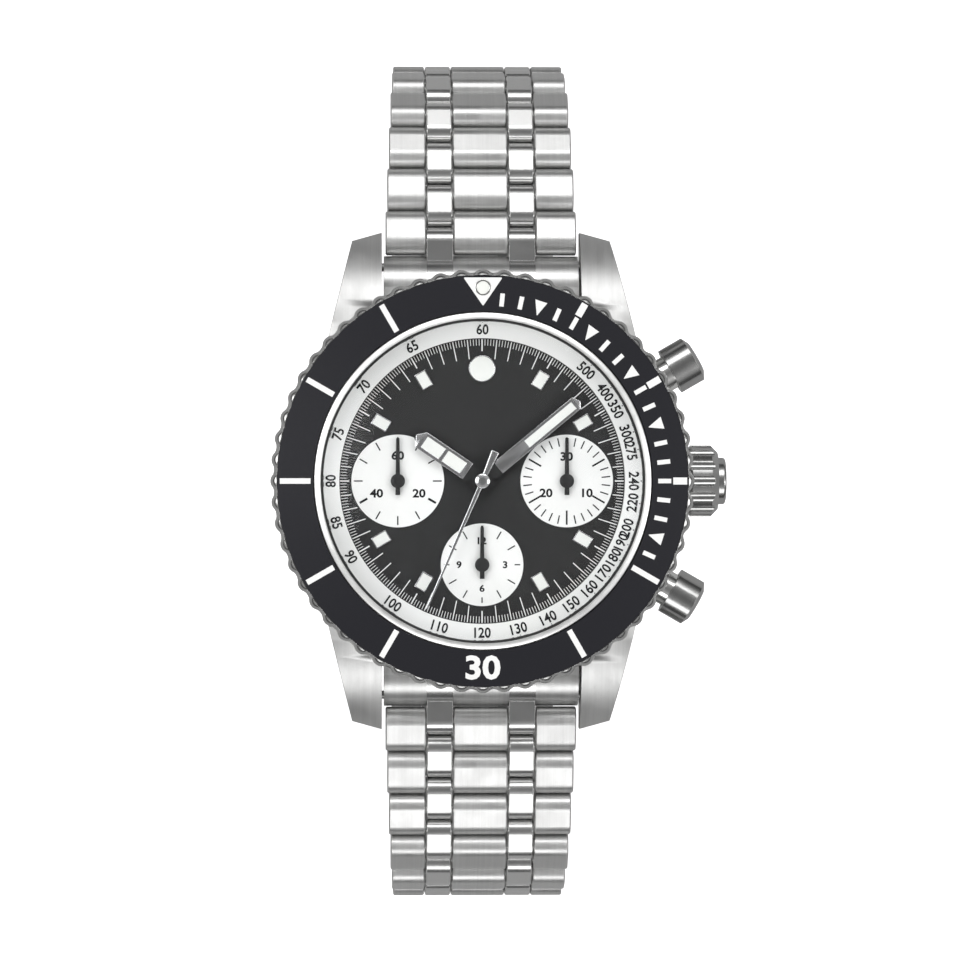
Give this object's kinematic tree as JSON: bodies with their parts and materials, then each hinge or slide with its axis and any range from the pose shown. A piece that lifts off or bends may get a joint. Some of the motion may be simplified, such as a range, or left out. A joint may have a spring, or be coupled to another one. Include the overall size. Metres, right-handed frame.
{
  "type": "chronograph wristwatch",
  "caption": "Steel diver's chronograph wristwatch on a five-column link bracelet closed by a folding clasp.",
  "frame": {"origin": "centre of the watch back's outer face", "axes": "+Z out of the dial, +Y to twelve o'clock, +X to the winding crown"},
  "size_m": [0.0457, 0.0866, 0.0461],
  "materials": {
    "polished_steel": "polished stainless steel",
    "brushed_steel": "fine brushed stainless steel",
    "satin_steel": "satin stainless steel",
    "crystal_glass": "clear sapphire crystal",
    "black_rubber": "black sealing rubber",
    "white_lacquer": "white lacquered ring",
    "black_dial": "black lacquered dial",
    "rhodium_brass": "rhodium plated brass with striping",
    "ruby": "synthetic ruby",
    "blued_steel": "heat blued steel",
    "spring_steel": "hardened spring steel",
    "black_enamel": "glossy black insert",
    "hand_steel": "polished hands with pale fill",
    "gilt_brass": "gilt brass",
    "black_lacquer": "black lacquered hand",
    "rotor_metal": "heavy alloy winding weight"
  },
  "bodies": {
    "case": {"mid_case": "brushed_steel", "case_back": "satin_steel", "crystal": "crystal_glass", "gaskets": "black_rubber", "tachymeter_ring": "white_lacquer", "dial_plate": "black_dial", "movement_ring": "satin_steel", "main_plate": "rhodium_brass", "bridges": "rhodium_brass", "jewels": "ruby", "movement_screws": "blued_steel", "case_tubes": "polished_steel", "pusher_springs": "spring_steel", "bezel_click_spring": "spring_steel", "end_links": "brushed_steel"},
    "bezel": {"bezel_ring": "polished_steel", "bezel_insert": "black_enamel"},
    "minute": {"minute_hand": "hand_steel", "centre_wheel": "gilt_brass"},
    "hour": {"hour_hand": "hand_steel"},
    "seconds": {"seconds_hand": "black_lacquer"},
    "chrono": {"chrono_hand": "hand_steel"},
    "minute_counter": {"minute_counter_hand": "black_lacquer"},
    "hour_counter": {"hour_counter_hand": "black_lacquer"},
    "barrel": {"barrel": "gilt_brass"},
    "balance": {"balance_wheel": "gilt_brass"},
    "rotor": {"rotor": "rotor_metal"},
    "pinion": {"winding_pinion": "spring_steel"},
    "crown": {"crown": "polished_steel", "winding_stem": "spring_steel"},
    "pusher_upper": {"pusher_upper": "polished_steel"},
    "pusher_lower": {"pusher_lower": "polished_steel"},
    "clasp_inner": {"clasp_inner_leaf": "satin_steel"},
    "clasp_middle": {"clasp_leaf": "satin_steel"},
    "clasp_outer": {"clasp_cover": "brushed_steel"},
    "clasp_flap": {"clasp_flap": "brushed_steel"},
    "row_a01": {"row_a01": "brushed_steel"},
    "row_a02": {"row_a02": "brushed_steel"},
    "row_a03": {"row_a03": "brushed_steel"},
    "row_a04": {"row_a04": "brushed_steel"},
    "row_a05": {"row_a05": "brushed_steel"},
    "row_a06": {"row_a06": "brushed_steel"},
    "row_a07": {"row_a07": "brushed_steel"},
    "row_a08": {"row_a08": "brushed_steel"},
    "row_a09": {"row_a09": "brushed_steel"},
    "row_a10": {"row_a10": "brushed_steel"},
    "row_a11": {"row_a11": "brushed_steel"},
    "row_a12": {"row_a12": "brushed_steel"},
    "row_b01": {"row_b01": "brushed_steel"},
    "row_b02": {"row_b02": "brushed_steel"},
    "row_b03": {"row_b03": "brushed_steel"},
    "row_b04": {"row_b04": "brushed_steel"},
    "row_b05": {"row_b05": "brushed_steel"},
    "row_b06": {"row_b06": "brushed_steel"},
    "row_b07": {"row_b07": "brushed_steel"},
    "row_b08": {"row_b08": "brushed_steel"},
    "row_b09": {"row_b09": "brushed_steel"},
    "row_b10": {"row_b10": "brushed_steel"},
    "row_b11": {"row_b11": "brushed_steel"},
    "row_b12": {"row_b12": "brushed_steel"}
  },
  "joints": [
    {"name": "bezel_turn", "type": "hinge", "parent": "case", "child": "bezel", "pos_m": [0, 0, 0.0105], "axis": [0, 0, 1], "continuous": true},
    {"name": "minute_turn", "type": "hinge", "parent": "case", "child": "minute", "pos_m": [0, 0, 0.009], "axis": [0, 0, -1], "continuous": true},
    {"name": "hour_turn", "type": "hinge", "parent": "case", "child": "hour", "pos_m": [0, 0, 0.0085], "axis": [0, 0, -1], "continuous": true},
    {"name": "seconds_turn", "type": "hinge", "parent": "case", "child": "seconds", "pos_m": [-0.0084, 0, 0.0065], "axis": [0, 0, -1], "continuous": true},
    {"name": "chrono_turn", "type": "hinge", "parent": "case", "child": "chrono", "pos_m": [0, 0, 0.0095], "axis": [0, 0, -1], "continuous": true},
    {"name": "minute_counter_turn", "type": "hinge", "parent": "case", "child": "minute_counter", "pos_m": [0.00845, 0, 0.0065], "axis": [0, 0, -1], "continuous": true},
    {"name": "hour_counter_turn", "type": "hinge", "parent": "case", "child": "hour_counter", "pos_m": [0, -0.00835, 0.0065], "axis": [0, 0, -1], "continuous": true},
    {"name": "barrel_turn", "type": "hinge", "parent": "case", "child": "barrel", "pos_m": [0.0042, 0.0048, 0.005], "axis": [0, 0, -1], "continuous": true},
    {"name": "balance_swing", "type": "hinge", "parent": "case", "child": "balance", "pos_m": [-0.0059, 0.0069, 0.005], "axis": [0, 0, 1], "range_deg": [-270, 270]},
    {"name": "rotor_turn", "type": "hinge", "parent": "case", "child": "rotor", "pos_m": [0, 0, 0.0025], "axis": [0, 0, 1], "continuous": true},
    {"name": "pinion_turn", "type": "hinge", "parent": "case", "child": "pinion", "pos_m": [0.0125, 0, 0.0054], "axis": [1, 0, 0], "continuous": true},
    {"name": "crown_pull", "type": "slide", "parent": "pinion", "child": "crown", "axis": [1, 0, 0], "range_m": [0, 0.0012]},
    {"name": "pusher_upper_press", "type": "slide", "parent": "case", "child": "pusher_upper", "axis": [-0.866, -0.5, 0], "range_m": [0, 0.0009], "stiffness_N_per_m": 1500, "springref_m": -0.0003, "deforming": ["pusher_springs"]},
    {"name": "pusher_lower_press", "type": "slide", "parent": "case", "child": "pusher_lower", "axis": [-0.866, 0.5, 0], "range_m": [0, 0.0009], "stiffness_N_per_m": 1500, "springref_m": -0.0003, "deforming": ["pusher_springs"]},
    {"name": "row_a01_hinge", "type": "hinge", "parent": "case", "child": "row_a01", "pos_m": [0, 0.0242, 0.0036], "axis": [1, 0, 0], "range_deg": [0, 15]},
    {"name": "row_a02_hinge", "type": "hinge", "parent": "row_a01", "child": "row_a02", "pos_m": [0, 0.02862, 0.00199], "axis": [1, 0, 0], "range_deg": [0, 3]},
    {"name": "row_a03_hinge", "type": "hinge", "parent": "row_a02", "child": "row_a03", "pos_m": [0, 0.03303, 0.00038], "axis": [1, 0, 0], "range_deg": [0, 8]},
    {"name": "row_a04_hinge", "type": "hinge", "parent": "row_a03", "child": "row_a04", "pos_m": [0, 0.03729, -0.0016], "axis": [1, 0, 0], "range_deg": [0, 28]},
    {"name": "row_a05_hinge", "type": "hinge", "parent": "row_a04", "child": "row_a05", "pos_m": [0, 0.04031, -0.0052], "axis": [1, 0, 0], "range_deg": [0, 25]},
    {"name": "row_a06_hinge", "type": "hinge", "parent": "row_a05", "child": "row_a06", "pos_m": [0, 0.04177, -0.00967], "axis": [1, 0, 0], "range_deg": [0, 19]},
    {"name": "row_a07_hinge", "type": "hinge", "parent": "row_a06", "child": "row_a07", "pos_m": [0, 0.04193, -0.01437], "axis": [1, 0, 0], "range_deg": [0, 7]},
    {"name": "row_a08_hinge", "type": "hinge", "parent": "row_a07", "child": "row_a08", "pos_m": [0, 0.04177, -0.01907], "axis": [1, 0, 0], "range_deg": [0, 15]},
    {"name": "row_a09_hinge", "type": "hinge", "parent": "row_a08", "child": "row_a09", "pos_m": [0, 0.04063, -0.02363], "axis": [1, 0, 0], "range_deg": [0, 27]},
    {"name": "row_a10_hinge", "type": "hinge", "parent": "row_a09", "child": "row_a10", "pos_m": [0, 0.03774, -0.02733], "axis": [1, 0, 0], "range_deg": [0, 27]},
    {"name": "row_a11_hinge", "type": "hinge", "parent": "row_a10", "child": "row_a11", "pos_m": [0, 0.03359, -0.02954], "axis": [1, 0, 0], "range_deg": [0, 25]},
    {"name": "row_a12_hinge", "type": "hinge", "parent": "row_a11", "child": "row_a12", "pos_m": [0, 0.02891, -0.03003], "axis": [1, 0, 0], "range_deg": [0, 9]},
    {"name": "row_b01_hinge", "type": "hinge", "parent": "case", "child": "row_b01", "pos_m": [0, -0.0242, 0.0036], "axis": [-1, 0, 0], "range_deg": [0, 15]},
    {"name": "row_b02_hinge", "type": "hinge", "parent": "row_b01", "child": "row_b02", "pos_m": [0, -0.02862, 0.00199], "axis": [-1, 0, 0], "range_deg": [0, 3]},
    {"name": "row_b03_hinge", "type": "hinge", "parent": "row_b02", "child": "row_b03", "pos_m": [0, -0.03303, 0.00038], "axis": [-1, 0, 0], "range_deg": [0, 8]},
    {"name": "row_b04_hinge", "type": "hinge", "parent": "row_b03", "child": "row_b04", "pos_m": [0, -0.03729, -0.0016], "axis": [-1, 0, 0], "range_deg": [0, 28]},
    {"name": "row_b05_hinge", "type": "hinge", "parent": "row_b04", "child": "row_b05", "pos_m": [0, -0.04031, -0.0052], "axis": [-1, 0, 0], "range_deg": [0, 25]},
    {"name": "row_b06_hinge", "type": "hinge", "parent": "row_b05", "child": "row_b06", "pos_m": [0, -0.04177, -0.00967], "axis": [-1, 0, 0], "range_deg": [0, 19]},
    {"name": "row_b07_hinge", "type": "hinge", "parent": "row_b06", "child": "row_b07", "pos_m": [0, -0.04193, -0.01437], "axis": [-1, 0, 0], "range_deg": [0, 7]},
    {"name": "row_b08_hinge", "type": "hinge", "parent": "row_b07", "child": "row_b08", "pos_m": [0, -0.04177, -0.01907], "axis": [-1, 0, 0], "range_deg": [0, 15]},
    {"name": "row_b09_hinge", "type": "hinge", "parent": "row_b08", "child": "row_b09", "pos_m": [0, -0.04063, -0.02363], "axis": [-1, 0, 0], "range_deg": [0, 27]},
    {"name": "row_b10_hinge", "type": "hinge", "parent": "row_b09", "child": "row_b10", "pos_m": [0, -0.03774, -0.02733], "axis": [-1, 0, 0], "range_deg": [0, 27]},
    {"name": "row_b11_hinge", "type": "hinge", "parent": "row_b10", "child": "row_b11", "pos_m": [0, -0.03359, -0.02954], "axis": [-1, 0, 0], "range_deg": [0, 25]},
    {"name": "row_b12_hinge", "type": "hinge", "parent": "row_b11", "child": "row_b12", "pos_m": [0, -0.02891, -0.03003], "axis": [-1, 0, 0], "range_deg": [0, 9]},
    {"name": "clasp_swing", "type": "hinge", "parent": "row_a12", "child": "clasp_inner", "pos_m": [0, 0.02421, -0.03003], "axis": [1, 0, 0], "range_deg": [0, 60]},
    {"name": "leaf_fold", "type": "hinge", "parent": "clasp_inner", "child": "clasp_middle", "pos_m": [0, -0.014, -0.03058], "axis": [-1, 0, 0], "range_deg": [0, 84]},
    {"name": "cover_fold", "type": "hinge", "parent": "clasp_middle", "child": "clasp_outer", "pos_m": [0, 0.0204, -0.03058], "axis": [1, 0, 0], "range_deg": [0, 168]},
    {"name": "flap_fold", "type": "hinge", "parent": "clasp_outer", "child": "clasp_flap", "pos_m": [0, 0.0057, -0.03168], "axis": [-1, 0, 0], "range_deg": [0, 90]}
  ],
  "couplings": [
    {"joint": "minute_turn", "follows": "seconds_turn", "ratio": 0.016667},
    {"joint": "hour_turn", "follows": "seconds_turn", "ratio": 0.0013889},
    {"joint": "barrel_turn", "follows": "seconds_turn", "ratio": -0.0020833},
    {"joint": "minute_counter_turn", "follows": "chrono_turn", "ratio": 0.033333},
    {"joint": "hour_counter_turn", "follows": "chrono_turn", "ratio": 0.0013889},
    {"joint": "leaf_fold", "follows": "cover_fold", "ratio": 0.5}
  ]
}
